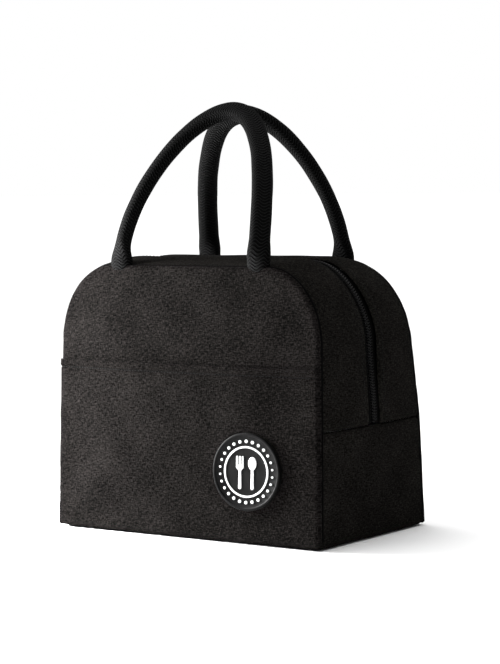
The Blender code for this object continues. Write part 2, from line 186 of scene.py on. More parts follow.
def seam_distance(y, z):
    """Distance of a place on a band from the nearer of its two seams with the walls."""
    return np.minimum(half_depth(z, BACK_SIDE) - y, half_depth(z, FRONT_SIDE) + y)


def bulge(y, z):
    """The share of a band's swell at a place across it: 1 along the zip, 0 at both walls."""
    from_zip = y - zip_middle(z)
    back = half_depth(z, BACK_SIDE) - zip_middle(z)
    front = half_depth(z, FRONT_SIDE) + zip_middle(z)
    return 1 - (from_zip / np.where(from_zip > 0, back, front)) ** 2


def tuck(distance, width=TUCK_WIDTH, depth=TUCK_DEPTH):
    """How far a sewn edge turns in, at a distance from its seam: a quarter of an ellipse."""
    t = np.clip(1 - np.maximum(distance, 0) / width, 0, 1)
    return depth * (1 - np.sqrt(1 - t * t))


def rumple(points, size, seed):
    """Smooth noise between -1 and 1, a value for each point."""
    shift = Vector((seed * 7.3, seed * 3.1, seed * 5.7))
    flat = points.reshape(-1, 3) / size
    values = [noise.noise(Vector(p) + shift) for p in flat.tolist()]
    return np.array(values).reshape(points.shape[:-1])


def steps(start, end, size):
    return max(2, int(round(abs(end - start) / size)))


def arch_rail(inset, size):
    """The doorway outline of the top half, from its right foot to its left."""
    near_fold = np.linspace(FOLD, FOLD + FOLD_ZONE, 10, endpoint=False)
    above = np.linspace(FOLD + FOLD_ZONE, SHOULDER, steps(FOLD, SHOULDER, size), endpoint=False)
    side = np.concatenate([near_fold, above])
    angle = np.linspace(0, math.pi / 2, steps(0, CORNER_RUN, size), endpoint=False)
    corner_x = CORNER_X + (CORNER_WIDTH - inset) * np.cos(angle)
    corner_z = SHOULDER + (CORNER_HEIGHT - inset) * np.sin(angle)
    corner_normal = (np.cos(angle) / CORNER_WIDTH, np.sin(angle) / CORNER_HEIGHT)
    top = np.linspace(CORNER_X, 0, steps(0, CORNER_X, size) + 1)
    return whole_rail(
        (half_width(side) - inset, side, 1, 0, 0),
        (corner_x, corner_z, *corner_normal, angle / (math.pi / 2)),
        (top, SEAM_TOP - inset, 0, 1, 1),
    )


def trough_rail(high, inset, size):
    """The U outline of the base, from its right top to its left top."""
    radius = max(BASE_CORNER - inset, 3 * MM)
    middle_z = inset + radius
    middle_x = half_width(middle_z) - inset - radius
    side = np.linspace(high, middle_z, steps(high, middle_z, size), endpoint=False)
    angle = np.linspace(0, math.pi / 2, 7, endpoint=False)
    corner = (middle_x + radius * np.cos(angle), middle_z - radius * np.sin(angle))
    base = np.linspace(middle_x, 0, steps(0, middle_x, size) + 1)
    return whole_rail(
        (half_width(side) - inset, side, 1, 0, side / high),
        (*corner, np.cos(angle), -np.sin(angle), 0),
        (base, inset, 0, -1, 0),
    )


def whole_rail(*runs):
    """A rail from the runs of its right half, each (x, z, normal x, normal z, share), and their mirror image.

    Returns points (x, z), outward normals, and each point's share of its band's swell.
    """
    half = np.concatenate([np.stack(np.broadcast_arrays(*run)) for run in runs], axis=1)
    half[2:4] /= np.hypot(half[2], half[3])
    mirrored = half[:, -2::-1] * np.array([-1, 1, -1, 1, 1])[:, None]
    rail = np.concatenate([half, mirrored], axis=1)
    return rail[:2].T, rail[2:4].T, rail[4]


def doorway_distance(x, z):
    """How far inside the front panel's outline a point is."""
    across = np.abs(x)
    dx = np.maximum(across - CORNER_X, 0)
    dz = np.maximum(z - SHOULDER, 0)
    rho = np.maximum(np.hypot(dx / CORNER_WIDTH, dz / CORNER_HEIGHT), 1e-6)
    corner = np.hypot(dx, dz) * (1 / rho - 1)
    inside = np.where(z <= SHOULDER, half_width(z) - across, corner)
    return np.maximum(np.minimum(inside, z - BOTTOM_ROLL), 0)


def panel_half_width(z):
    """Half the width of the front panel at a height, with its rounded top and bottom corners."""
    dz = np.clip((z - SHOULDER) / CORNER_HEIGHT, 0, 1)
    top = CORNER_X + CORNER_WIDTH * np.sqrt(1 - dz * dz)
    low = np.clip(1 - z / BASE_CORNER, 0, 1)
    base = half_width(z) - BASE_CORNER * (1 - np.sqrt(1 - low * low))
    return np.where(z > SHOULDER, top, base)


# ---------------- mesh making


def unit(vectors):
    return vectors / np.linalg.norm(vectors, axis=-1, keepdims=True)


def grid_normals(points):
    """Unit normals of a grid of points: the direction across rows crossed with the one along columns."""
    down = np.gradient(points, axis=0)
    across = np.gradient(points, axis=1)
    normals = np.cross(down, across)
    return normals / np.maximum(np.linalg.norm(normals, axis=2, keepdims=True), 1e-12)


def run_lengths(points, axis):
    """Distances along a grid's rows or columns, from the first point."""
    leap = np.linalg.norm(np.diff(points, axis=axis), axis=2)
    start = np.zeros_like(leap.take([0], axis=axis))
    return np.concatenate([start, np.cumsum(leap, axis=axis)], axis=axis)


def grid_faces(rows, columns, offset, flip):
    faces = []
    for i in range(rows - 1):
        for j in range(columns - 1):
            a = offset + i * columns + j
            face = (a, a + columns, a + columns + 1, a + 1)
            faces.append(face[::-1] if flip else face)
    return faces


def border_loop(rows, columns):
    """Indices round the edge of a grid, in order."""
    top = list(range(columns))
    right = [i * columns + columns - 1 for i in range(1, rows)]
    bottom = [(rows - 1) * columns + j for j in range(columns - 2, -1, -1)]
    left = [i * columns for i in range(rows - 2, 0, -1)]
    return top + right + bottom + left


def new_piece(name, mesh, material):
    obj = bpy.data.objects.new(name, mesh)
    bpy.context.scene.collection.objects.link(obj)
    mesh.materials.append(material)
    mesh.shade_smooth()
    return obj


def mesh_from(name, points, faces, uv=None):
    mesh = bpy.data.meshes.new(name)
    mesh.from_pydata(np.asarray(points).tolist(), [], faces)
    if uv is not None:
        layer = mesh.uv_layers.new(name="cloth")
        corners = np.zeros(len(mesh.loops), np.int32)
        mesh.loops.foreach_get("vertex_index", corners)
        layer.data.foreach_set("uv", np.asarray(uv, np.float32)[corners].ravel())
    return mesh


def cleaned(mesh, merge=0.0, outwards=True):
    """Merges points that lie within a distance, and turns every face of a closed mesh outwards."""
    shape = bmesh.new()
    shape.from_mesh(mesh)
    if merge:
        bmesh.ops.remove_doubles(shape, verts=shape.verts, dist=merge)
    if outwards:
        bmesh.ops.recalc_face_normals(shape, faces=shape.faces)
    shape.to_mesh(mesh)
    shape.free()
    return mesh


def bar_faces(first, rings, sides):
    """Faces of a bar with closed ends, whose rings of points start at an index."""
    faces = []
    for i in range(rings - 1):
        for k in range(sides):
            a = first + i * sides + k
            b = first + i * sides + (k + 1) % sides
            faces.append((a, b, b + sides, a + sides))
    faces.append(tuple(first + k for k in range(sides)))
    last = first + (rings - 1) * sides
    faces.append(tuple(last + k for k in reversed(range(sides))))
    return faces


def thick_cloth(name, points, thickness, material, outward):
    """A closed sheet of cloth: a grid of points as its outer face, and its inner face a thickness away.

    outward is any rough direction that the outer face looks in, at the grid's middle.
    """
    rows, columns = points.shape[:2]
    normals = grid_normals(points)
    probe = normals[rows // 2, columns // 2]
    if np.dot(probe, outward) < 0:
        normals = -normals
    inner = points - normals * thickness
    count = rows * columns
    faces = grid_faces(rows, columns, 0, False) + grid_faces(rows, columns, count, True)
    loop = border_loop(rows, columns)
    for a, b in zip(loop, loop[1:] + loop[:1]):
        faces.append((a, b, b + count, a + count))
    u = run_lengths(points, 1)
    u = u - u[:, -1:] / 2
    v = np.repeat(run_lengths(points, 0)[:, columns // 2][:, None], columns, axis=1)
    uv = np.stack([u, v], 2).reshape(-1, 2)
    everything = np.concatenate([points.reshape(-1, 3), inner.reshape(-1, 3)])
    mesh = cleaned(mesh_from(name, everything, faces, np.concatenate([uv, uv])))
    return new_piece(name, mesh, material)


def tube(name, rings, material, repeat):
    """A closed tube through rings of points, with UVs: round it in turns of `repeat` metres, and along it."""
    count, sides = rings.shape[:2]
    centre = rings.mean(axis=1)
    along = run_along(centre)
    around = np.arange(sides + 1) / sides * repeat
    seamed = np.concatenate([rings, rings[:, :1]], axis=1)
    faces = grid_faces(count, sides + 1, 0, False)
    uv = np.stack(np.broadcast_arrays(around[None, :], along[:, None]), 2).reshape(-1, 2)
    points = seamed.reshape(-1, 3)
    last = len(points)
    points = np.concatenate([points, centre[:1], centre[-1:]])
    uv = np.concatenate([uv, [[0, 0], [0, along[-1]]]])
    for j in range(sides):
        faces.append((last, j, j + 1))
        end = (count - 1) * (sides + 1)
        faces.append((last + 1, end + j + 1, end + j))
    return new_piece(name, cleaned(mesh_from(name, points, faces, uv), 1e-7), material)


# ---------------- materials


class Nodes:
    """A short way to write a material's nodes."""

    def __init__(self, name, colour, roughness, metallic=0.0):
        self.material = bpy.data.materials.new(name)
        self.material.use_nodes = True
        self.tree = self.material.node_tree
        self.shader = self.tree.nodes["Principled BSDF"]
        self.set("Base Color", (*colour, 1))
        self.set("Roughness", roughness)
        self.set("Metallic", metallic)

    def set(self, socket, value):
        self.shader.inputs[socket].default_value = value

    def node(self, kind, **settings):
        """A new node, with values for its sockets or its own settings."""
        made = self.tree.nodes.new(kind)
        for key, value in settings.items():
            if key in made.inputs:
                made.inputs[key].default_value = value
            else:
                setattr(made, key, value)
        return made

    def link(self, source, target):
        self.tree.links.new(source, target)

    def cloth(self, across=1.0, up=1.0):
        """The piece's own flat coordinates, in millimetres, stretched."""
        uv = self.node("ShaderNodeUVMap", uv_map="cloth")
        scale = self.node("ShaderNodeMapping", Scale=(1000 * across, 1000 * up, 1))
        self.link(uv.outputs["UV"], scale.inputs["Vector"])
        return scale.outputs["Vector"]

    def noise(self, vector, scale, detail=2.0, roughness=0.5):
        made = self.node("ShaderNodeTexNoise", Scale=scale, Detail=detail, Roughness=roughness)
        self.link(vector, made.inputs["Vector"])
        return made.outputs["Fac"]

    def wave(self, vector, scale, direction="X", distortion=0.0):
        made = self.node("ShaderNodeTexWave", bands_direction=direction, Scale=scale, Distortion=distortion)
        self.link(vector, made.inputs["Vector"])
        return made.outputs["Fac"]

    def math(self, operation, a, b):
        made = self.node("ShaderNodeMath", operation=operation)
        for socket, value in zip(made.inputs, (a, b)):
            if isinstance(value, (int, float)):
                socket.default_value = value
            else:
                self.link(value, socket)
        return made.outputs[0]

    def ramp(self, factor, stops):
        """A colour ramp: stops are (position, (r, g, b))."""
        made = self.node("ShaderNodeValToRGB")
        elements = made.color_ramp.elements
        while len(elements) < len(stops):
            elements.new(0.5)
        for element, (position, colour) in zip(elements, stops):
            element.position = position
            element.color = (*colour, 1)
        self.link(factor, made.inputs["Fac"])
        return made.outputs["Color"]

    def spread(self, factor, low, high):
        """A 0 to 1 value mapped to a range, for roughness."""
        made = self.node("ShaderNodeMapRange", **{"To Min": low, "To Max": high})
        self.link(factor, made.inputs["Value"])
        return made.outputs["Result"]

    def paint(self, colour):
        self.link(colour, self.shader.inputs["Base Color"])

    def roughen(self, value):
        self.link(value, self.shader.inputs["Roughness"])

    def bump(self, height, distance, strength=1.0):
        made = self.node("ShaderNodeBump", Strength=strength, Distance=distance)
        self.link(height, made.inputs["Height"])
        self.link(made.outputs["Normal"], self.shader.inputs["Normal"])


WARM = (1.13, 1.0, 0.96)
OLIVE = (1.07, 1.0, 0.88)
WAVE_REPEATS = 3.1  # about how often a wave texture of scale 1 repeats in a unit


def grey(value, tint=(1.0, 1.0, 1.0)):
    """A grey with a slight tint."""
    return tuple(value * share for share in tint)


def heather_canvas(name, dark, light, tint, weave=0.9):
    """Two-tone canvas: dark and light fibres in both thread directions, with a plain weave's relief."""
    made = Nodes(name, grey(dark, tint), 0.95)
    weft = made.noise(made.cloth(0.3, 1.3), 1.0, 2.5, 0.65)
    warp = made.noise(made.cloth(1.3, 0.36), 1.0, 2.5, 0.65)
    speck = made.noise(made.cloth(), 0.8, 3.0, 0.7)
    cloud = made.noise(made.cloth(), 0.035, 2.0)
    threads = made.math("ADD", made.math("MULTIPLY", weft, 0.34), made.math("MULTIPLY", warp, 0.26))
    mixed = made.math("ADD", threads, made.math("MULTIPLY", speck, 0.3))
    mixed = made.math("ADD", mixed, made.math("MULTIPLY", cloud, 0.1))
    middle_tone = dark + (light - dark) * 0.3
    tones = ((0.43, grey(dark, tint)), (0.5, grey(middle_tone, tint)), (0.58, grey(light, tint)))
    made.paint(made.ramp(mixed, tones))
    across = made.wave(made.cloth(), 1 / weave / WAVE_REPEATS, "X", 0.5)
    along = made.wave(made.cloth(), 1 / weave / WAVE_REPEATS, "Y", 0.5)
    relief = made.math("ADD", made.math("MULTIPLY", across, along), made.math("MULTIPLY", mixed, 1.6))
    made.bump(relief, 0.3 * MM, 0.9)
    made.roughen(made.spread(mixed, 1.0, 0.85))
    made.set("Sheen Weight", 0.002)
    made.set("Sheen Roughness", 0.5)
    made.set("Specular IOR Level", 0.005)
    return made.material


def webbing(name):
    """Black herringbone webbing: slanting ribs that change direction at each column."""
    made = Nodes(name, grey(0.006), 0.8)
    columns = made.wave(made.cloth(), 1 / 7.4 / WAVE_REPEATS, "X")
    slant = made.math("MULTIPLY", columns, 2.4)
    split = made.node("ShaderNodeSeparateXYZ")
    made.link(made.cloth(), split.inputs[0])
    phase = made.math("MULTIPLY", made.math("ADD", split.outputs["Y"], slant), 2 * math.pi / 2.3)
    ribs = made.math("MULTIPLY", made.math("ADD", made.math("SINE", phase, 0), 1.0), 0.5)
    fibres = made.noise(made.cloth(2.2, 0.9), 1.0, 3.0, 0.7)
    height = made.math("ADD", ribs, made.math("MULTIPLY", fibres, 0.6))
    # The colour follows the relief: painted shade in the grooves between ribs and painted highlight on their
    # crests, with random fibre tone.
    tone = made.math("MULTIPLY", height, 0.6)
    made.paint(made.ramp(tone, ((0.3, grey(0.0003)), (0.62, grey(0.0012)), (0.9, grey(0.014)))))
    made.bump(height, 0.5 * MM, 1.0)
    made.roughen(made.spread(fibres, 0.6, 0.95))
    made.set("Specular IOR Level", 0.03)
    return made.material


def ribbed_tape(name, tone, pitch, shine):
    """Woven tape with fine ribs across it."""
    made = Nodes(name, grey(tone), 0.85)
    ribs = made.wave(made.cloth(), 1 / pitch / WAVE_REPEATS, "Y", 0.3)
    fibres = made.noise(made.cloth(2.5, 1.0), 1.0, 2.0, 0.6)
    height = made.math("ADD", ribs, made.math("MULTIPLY", fibres, 0.5))
    # The colour follows the relief: painted shade between the ribs and painted highlight on them, with random
    # fibre tone.
    low, high = grey(tone * 0.55), grey(tone * 1.7)
    made.paint(made.ramp(made.math("MULTIPLY", height, 0.66), ((0.15, low), (0.9, high))))
    made.bump(height, 0.18 * MM, 0.7)
    made.roughen(made.spread(fibres, 0.7, 0.95))
    made.set("Specular IOR Level", shine)
    return made.material


def plain_moulding(name, tone, rough, grain, metallic=0.0, spread=0.5, shine=0.5):
    """Moulded or painted material with a fine grain and uneven gloss."""
    made = Nodes(name, grey(tone), rough, metallic)
    made.set("Specular IOR Level", shine)
    place = made.node("ShaderNodeTexCoord").outputs["Object"]
    fine = made.noise(place, 1 / grain, 3.0, 0.6)
    worn = made.noise(place, 90.0, 3.0, 0.6)
    tones = ((0.3, grey(tone * (1 - spread))), (0.7, grey(min(tone * (1 + spread), 0.95))))
    made.paint(made.ramp(worn, tones))
    made.bump(fine, 0.05 * MM, 0.5)
    made.roughen(made.spread(worn, rough * 0.75, min(rough * 1.3, 1.0)))
    return made.material


def crumpled_foil(name):
    """Silver film over foam: bright, soft creases."""
    made = Nodes(name, (0.72, 0.73, 0.75), 0.3, 0.85)
    creases = made.node("ShaderNodeTexVoronoi", feature="DISTANCE_TO_EDGE", Scale=0.09)
    made.link(made.cloth(), creases.inputs["Vector"])
    waves = made.noise(made.cloth(), 0.14, 4.0, 0.55)
    painted_shadow = made.math("MINIMUM", creases.outputs["Distance"], 0.25)
    made.bump(made.math("ADD", made.math("MULTIPLY", painted_shadow, 1.6), waves), 1.1 * MM, 0.6)
    made.paint(made.ramp(waves, ((0.3, (0.6, 0.61, 0.63)), (0.7, (0.8, 0.81, 0.83)))))
    made.roughen(made.spread(waves, 0.22, 0.42))
    return made.material


def thread(name, tone):
    made = Nodes(name, grey(tone), 0.7)
    place = made.node("ShaderNodeTexCoord").outputs["Object"]
    twist = made.noise(place, 2600.0, 2.0)
    made.paint(made.ramp(twist, ((0.35, grey(tone * 0.5)), (0.65, grey(tone * 1.6)))))
    made.bump(twist, 0.06 * MM, 0.6)
    made.set("Specular IOR Level", 0.1)
    return made.material


CANVAS = heather_canvas("canvas", 0.0007, 0.0168, WARM)
SIDE_CANVAS = heather_canvas("side_canvas", 0.0013, 0.0178, OLIVE)
WEBBING = webbing("webbing")
ZIP_TAPE = ribbed_tape("zip_tape", 0.001, 0.9, 0.02)
BINDING_TAPE = ribbed_tape("binding_tape", 0.01, 1.1, 0.1)
COIL = plain_moulding("nylon_coil", 0.0035, 0.45, 0.4 * MM, shine=0.06)
METAL = plain_moulding("black_nickel", 0.05, 0.3, 0.5 * MM, 1.0, 0.35)
RUBBER = plain_moulding("black_rubber", 0.0025, 0.5, 0.3 * MM, shine=0.08)
PRINT = plain_moulding("white_rubber", 0.86, 0.5, 0.3 * MM, 0.0, 0.06)
FOIL = crumpled_foil("foil")
THREAD = thread("thread", 0.0025)


# ---------------- sewn covers


def spaced(half):
    """Symmetrical positions from -half to half, close together at the ends, where the cloth turns in."""
    painted_shadow = TUCK_WIDTH * (1 - np.cos(np.linspace(0, math.pi / 2, 8)))
    inner = np.linspace(TUCK_WIDTH, half, steps(TUCK_WIDTH, half, FINE) + 1)[1:]
    distance = np.concatenate([painted_shadow, inner])
    right = half - distance
    return np.concatenate([-right, right[-2::-1]])


def face_rows(top, high_corner):
    """Heights of the rows of a front or back panel, close together where its outline curves."""
    low = BOTTOM_ROLL + TUCK_WIDTH * (1 - np.cos(np.linspace(0, math.pi / 2, 7)))
    if not high_corner:
        return np.concatenate([low, np.linspace(low[-1], top, steps(low[-1], top, FINE) + 1)[1:]])
    side = np.linspace(low[-1], SHOULDER, steps(low[-1], SHOULDER, FINE) + 1)[1:]
    turn = SHOULDER + CORNER_HEIGHT * np.sin(np.linspace(0, math.pi / 2, 34))[1:]
    return np.concatenate([low, side, turn])


def face_grid(heights, fractions, side, lift, seed):
    """Points of a front or back panel: flat, swollen in its middle, and turned in at its edge."""
    z = np.repeat(heights[:, None], len(fractions), axis=1)
    x = panel_half_width(z) * fractions[None, :]
    distance = doorway_distance(x, z)
    y = side * (half_depth(z, side) + lift)
    points = np.stack([x, y, z], 2)
    out = FACE_PUFF[side] * smooth(distance / PUFF_REACH) - tuck(distance)
    high, wide = FACE_WAVES
    out += high * rumple(points, wide, seed) * smooth(distance / (12 * MM))
    out += PUCKER * rumple(points, PUCKER_SIZE, seed + 1) * np.exp(-distance / PUCKER_REACH)
    points[:, :, 1] += side * out
    return points


def face_cover(word, side, seed):
    """The front or the back panel, one piece of canvas from the bottom seam to the top."""
    fractions = spaced(HALF_WIDTH) / HALF_WIDTH
    points = face_grid(face_rows(SEAM_TOP, True), fractions, side, 0, seed)
    cover = thick_cloth(f"{word}_cover", points, CLOTH, CANVAS, (0, side, 0))
    hang_from_fold(cover)
    upper = (f"{word}_panel_upper", f"{word}_foam_upper")
    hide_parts(f"{word}_panel_lower", f"{word}_foam_lower", *upper)
    return points


def band_grid(rail, edges, swell, drop, seed, along_seams=True):
    """Points of a band that follows a rail, at the positions across it that edges gives for a height."""
    line, normals, share = rail
    rows = []
    for (x, z), (nx, nz), part in zip(line, normals, share):
        y = edges(z)
        out = swell(part, z) * bulge(y, z) - drop(y, z)
        rows.append(np.stack([x + nx * out, y, z + nz * out], 1))
    points = np.array(rows)
    normal = np.stack([normals[:, 0], np.zeros(len(normals)), normals[:, 1]], 1)[:, None, :]
    seam = seam_distance(points[:, :, 1], line[:, 1][:, None])
    high, wide = BAND_WAVES
    bumps = high * rumple(points, wide, seed) * smooth(seam / (9 * MM))
    if along_seams:
        bumps += PUCKER * rumple(points, PUCKER_SIZE, seed + 1) * np.exp(-seam / PUCKER_REACH)
    return points + normal * bumps[:, :, None]


def gusset_swell(part, _):
    return SIDE_SWELL + (CROWN - SIDE_SWELL) * smooth(np.array(part))


def gusset_drop(y, z):
    """The turned edges of a gusset: at the wall's seam, and rolled under beside the zip."""
    from_zip = y - zip_middle(z)
    valley = ZIP_VALLEY * np.exp(-((from_zip / VALLEY_REACH) ** 2)) * smooth((z - FOLD) / VALLEY_RISE)
    fold = tuck(np.abs(from_zip) - ZIP_EDGE, *ZIP_FOLD)
    return tuck(seam_distance(y, z) - SEAM_SET) + valley + fold


def seam_columns(z, side):
    """Positions across a band, close together where it turns in beside a wall, out to the seam."""
    far = half_depth(z, side) - SEAM_GAP
    return far - (SEAM_SET + TUCK_WIDTH) * np.linspace(1, 0, SEAM_COLUMNS)


def gusset_edges(side):
    near = ZIP_EDGE + 3 * MM * (1 - np.cos(np.linspace(0, math.pi / 2, 6)))

    def edges(z):
        middle = side * zip_middle(z)
        turn = seam_columns(z, side)
        inner = np.linspace(middle + near[-1], turn[0], 18)[1:-1]
        return side * np.concatenate([middle + near, inner, turn])

    return edges


def low_seam_tuck(points):
    """Turns in the edge of a band near the seam between the base and the gussets."""
    inwards = tuck(np.abs(points[:, :, 2] - FOLD), *LOW_SEAM)
    points[:, :, 0] -= np.sign(points[:, :, 0]) * inwards
    return points


def gusset_cover(word, side, seed):
    rail = arch_rail(0, FINE)
    points = band_grid(rail, gusset_edges(side), gusset_swell, gusset_drop, seed)
    points = low_seam_tuck(points)
    cover = thick_cloth(f"gusset_{word}_cover", points, CLOTH, SIDE_CANVAS, (0, 0, 1))
    hang_from_fold(cover)
    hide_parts(f"gusset_{word}", f"gusset_{word}_foam")
    return points


def hang_from_fold(piece):
    """Bakes a piece's place into its mesh; the piece stays where it was built."""
    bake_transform(piece)


def seam_shadow_strip(word, side):
    """A near-black strip sunk in the groove between a wall and the bands: painted shadow that stands for the
    groove's shade.
    """
    arch, normals, share = arch_rail(0, FINE)
    heights = np.linspace(SEAM_SHADOW_FOOT, FOLD, steps(SEAM_SHADOW_FOOT, FOLD, FINE), endpoint=False)
    right = np.stack([half_width(heights), heights], 1)
    left = right[::-1] * np.array([-1, 1])
    line = np.concatenate([right, arch, left])
    normals = np.concatenate([np.tile((1, 0), (len(right), 1)), normals, np.tile((-1, 0), (len(left), 1))])
    share = np.concatenate([np.zeros(len(right)), share, np.zeros(len(left))])
    y = side * (half_depth(line[:, 1], side) - SEAM_SHADOW_SET)
    out = gusset_swell(share, line[:, 1]) * bulge(y, line[:, 1]) - SEAM_SHADOW_SINK
    centre = np.stack([line[:, 0] + normals[:, 0] * out, y, line[:, 1] + normals[:, 1] * out], 1)
    outwards = np.stack([normals[:, 0], np.zeros(len(out)), normals[:, 1]], 1)
    angle = np.linspace(0, 2 * math.pi, 12, endpoint=False)
    rings = centre[:, None, :] + outwards[:, None, :] * (np.cos(angle) * SEAM_SHADOW_STRIP[0])[None, :, None]
    rings[:, :, 1] += (np.sin(angle) * SEAM_SHADOW_STRIP[1])[None, :]
    # painted shadow: the strip takes the zip tape's near-black material
    strip = tube(f"seam_{word}_edge", rings, ZIP_TAPE, 6 * MM)
    hang_from_fold(strip)


def base_swell(part, _):
    return SIDE_SWELL * part


def base_drop(y, z):
    return tuck(seam_distance(y, z) - SEAM_SET, TUCK_WIDTH, BOTTOM_ROLL if z < BASE_CORNER else TUCK_DEPTH)


def base_edges(z):
    halves = []
    for side in (FRONT_SIDE, BACK_SIDE):
        turn = seam_columns(z, side)
        halves.append(np.concatenate([np.linspace(0, turn[0], 26)[:-1], turn]))
    return np.concatenate([-halves[0][:0:-1], halves[1]])


def base_cover():
    """The band that makes the bottom and the lower sides."""
    rail = trough_rail(FOLD - BASE_GAP, 0, FINE)
    points = band_grid(rail, base_edges, base_swell, base_drop, 31)
    flat = points[:, :, 2] < BASE_CORNER
    points[:, :, 2] = np.where(flat, np.maximum(points[:, :, 2], 0.0), points[:, :, 2])
    points = low_seam_tuck(points)
    cover = thick_cloth("base_cover", points, CLOTH, SIDE_CANVAS, (0, 0, -1))
    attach(cover, "base")
    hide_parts("base_band", "base_band_foam")


def pocket_cover():
    """The slip pocket: a second canvas sheet over the front panel, with a hem along its open top."""
    lift = CLOTH + SEAM_GAP
    heights = face_rows(POCKET_TOP, False)
    hem = POCKET_TOP - HEM_ROWS
    heights = np.concatenate([heights[heights < hem[0] - 1 * MM], hem, [POCKET_TOP]])
    fractions = spaced(HALF_WIDTH - POCKET_INSET) / HALF_WIDTH
    points = face_grid(heights, fractions, FRONT_SIDE, lift, 3)
    below = POCKET_TOP - points[:, :, 2]
    gape = GAPE * smooth(1 - below / GAPE_REACH) * np.cos(points[:, :, 0] / HALF_WIDTH * math.pi / 2)
    gape = gape * (1 + 0.5 * rumple(points, 42 * MM, 9))
    groove = GROOVE[0] * np.exp(-(((below - HEM) / GROOVE[1]) ** 2))
    thick_hem = HEM_THICKNESS * smooth((5.8 * MM - below) / (1 * MM)) - tuck(below, 0.9 * MM, 0.9 * MM)
    points[:, :, 1] -= gape + thick_hem - groove
    cover = thick_cloth("pocket_cover", points, CLOTH, CANVAS, (0, -1, 0))
    hang_from_fold(cover)
    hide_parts("pocket_lower", "pocket_upper")
    row = np.argmin(np.abs(heights - (POCKET_TOP - HEM)))
    stitches = stitch_row("pocket_stitches", points[row, 4:-4], (0, -1, 0), POCKET_STITCH)
    hang_from_fold(stitches)


# ---------------- stitches


def run_along(line):
    """Distances along a line of points, from its start."""
    return np.concatenate([[0], np.cumsum(np.linalg.norm(np.diff(line, axis=0), axis=1))])


def read_along(line, values, distance):
    """Values given at a line's points, read at one or more distances along it."""
    run = run_along(line)
    return np.stack([np.interp(distance, run, values[:, k]) for k in range(3)], -1)


def stitch_row(name, line, outward, pitch_length_radius):
    """A row of thread stitches along a line: each a short bar whose ends go into the cloth.

    outward is one direction for the whole row, or one for each point of the line.
    """
    pitch, length, radius = pitch_length_radius
    starts = np.arange(pitch / 2, run_along(line)[-1] - pitch, pitch)
    outs = np.broadcast_to(np.asarray(outward, float), line.shape)
    points, faces = [], []
    profile = ((0.0, -1.2), (0.18, 0.1), (0.5, 0.45), (0.82, 0.1), (1.0, -1.2))
    sides = 6
    for start in starts:
        ends = read_along(line, line, np.array([start, start + length]))
        out = unit(read_along(line, outs, start))
        way = ends[1] - ends[0]
        across = unit(np.cross(way, out))
        first = len(points)
        for share, height in profile:
            centre = ends[0] + way * share + out * (height * radius)
            for k in range(sides):
                angle = 2 * math.pi * k / sides
                points.append(centre + (across * math.cos(angle) + out * math.sin(angle)) * radius)
        faces += bar_faces(first, len(profile), sides)
    mesh = cleaned(mesh_from(name, points, faces))
    return new_piece(name, mesh, THREAD)


# ---------------- zip


def zip_height(part, z):
    """How far the zip stands outside the rail: the swell of the gussets, less the valley."""
    valley = ZIP_VALLEY * smooth((z - FOLD) / VALLEY_RISE)
    return gusset_swell(part, z) - valley - ZIP_SINK


def zip_line(size):
    """The zip's middle line over the bag and its outward directions."""
    line, normals, share = arch_rail(0, size)
    out = np.array([zip_height(part, z) for part, z in zip(share, line[:, 1])])
    x = line[:, 0] + normals[:, 0] * out
    z = line[:, 1] + normals[:, 1] * out
    low = tuck(np.abs(line[:, 1] - FOLD), *LOW_SEAM) * np.sign(line[:, 0])
    points = np.stack([x - low, zip_middle(line[:, 1]), z], 1)
    return points, np.stack([normals[:, 0], np.zeros(len(x)), normals[:, 1]], 1)


def zip_tape(word, side):
    line, out = zip_line(FINE)
    across = np.array([0.5, 1.5, 2.6, 3.4, 4.6, 6.2, 8.0, 10.0, 12.0]) * MM
    sink = np.array([0.9, 0.9, 0.9, 0.3, 0.25, 0.3, 0.7, 1.2, 1.6]) * MM
    points = line[:, None, :] - out[:, None, :] * sink[None, :, None]
    points = points + np.array([0, side, 0])[None, None, :] * across[None, :, None]
    strip = thick_cloth(f"zip_tape_{word}_woven", points, 0.6 * MM, ZIP_TAPE, (0, 0, 1))
    hang_from_fold(strip)
    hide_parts(f"zip_tape_{word}")
    seam = line - out * 0.2 * MM + np.array([0, side * 3.9 * MM, 0])
    stitches = stitch_row(f"coil_stitches_{word}", seam, out, COIL_STITCH)
    hang_from_fold(stitches)


def zip_coil(word, side):
    """One half of the closed coil: a bar for each turn, thicker at the end that locks into the other half."""
    line, out = zip_line(0.5 * MM)
    pitch, wide, radius, slant, sides = 2.0 * MM, 3.1 * MM, 0.5 * MM, 1.1 * MM, 8
    shift = 0 if side == FRONT_SIDE else pitch / 2
    starts = np.arange(pitch + shift, run_along(line)[-1] - pitch, pitch)
    profile = ((-0.35, 0.25), (-0.28, 0.8), (-0.1, 1.15), (0.12, 1.0), (0.7, 1.0), (0.92, 0.95), (1.0, 0.5))
    centres = read_along(line, line, starts)
    leads = read_along(line, line, starts + 0.2 * MM)
    points, faces = [], []
    for centre, lead, start in zip(centres, leads, starts):
        up = unit(read_along(line, out, start))
        along = unit(lead - centre)
        first = len(points)
        for share, size in profile:
            spot = centre + np.array([0, side * share * wide, 0]) + along * share * slant
            for k in range(sides):
                angle = 2 * math.pi * k / sides
                ring = along * math.cos(angle) * 0.95 + up * math.sin(angle) * 1.25
                points.append(spot + ring * radius * size)
        faces += bar_faces(first, len(profile), sides)
    mesh = cleaned(mesh_from(f"zip_coil_{word}_teeth", points, faces))
    coil = new_piece(mesh.name, mesh, COIL)
    hang_from_fold(coil)
    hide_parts(f"zip_coil_{word}")


def gusset_topstitch(word, points):
    """The row of stitches that holds the gusset's folded edge to the zip."""
    line = points[:, TOPSTITCH_COLUMN]
    normals = grid_normals(points)[:, TOPSTITCH_COLUMN]
    if normals[len(normals) // 2][2] < 0:
        normals = -normals
    stitches = stitch_row(f"zip_topstitch_{word}", line, normals, ZIP_TOPSTITCH)
    hang_from_fold(stitches)


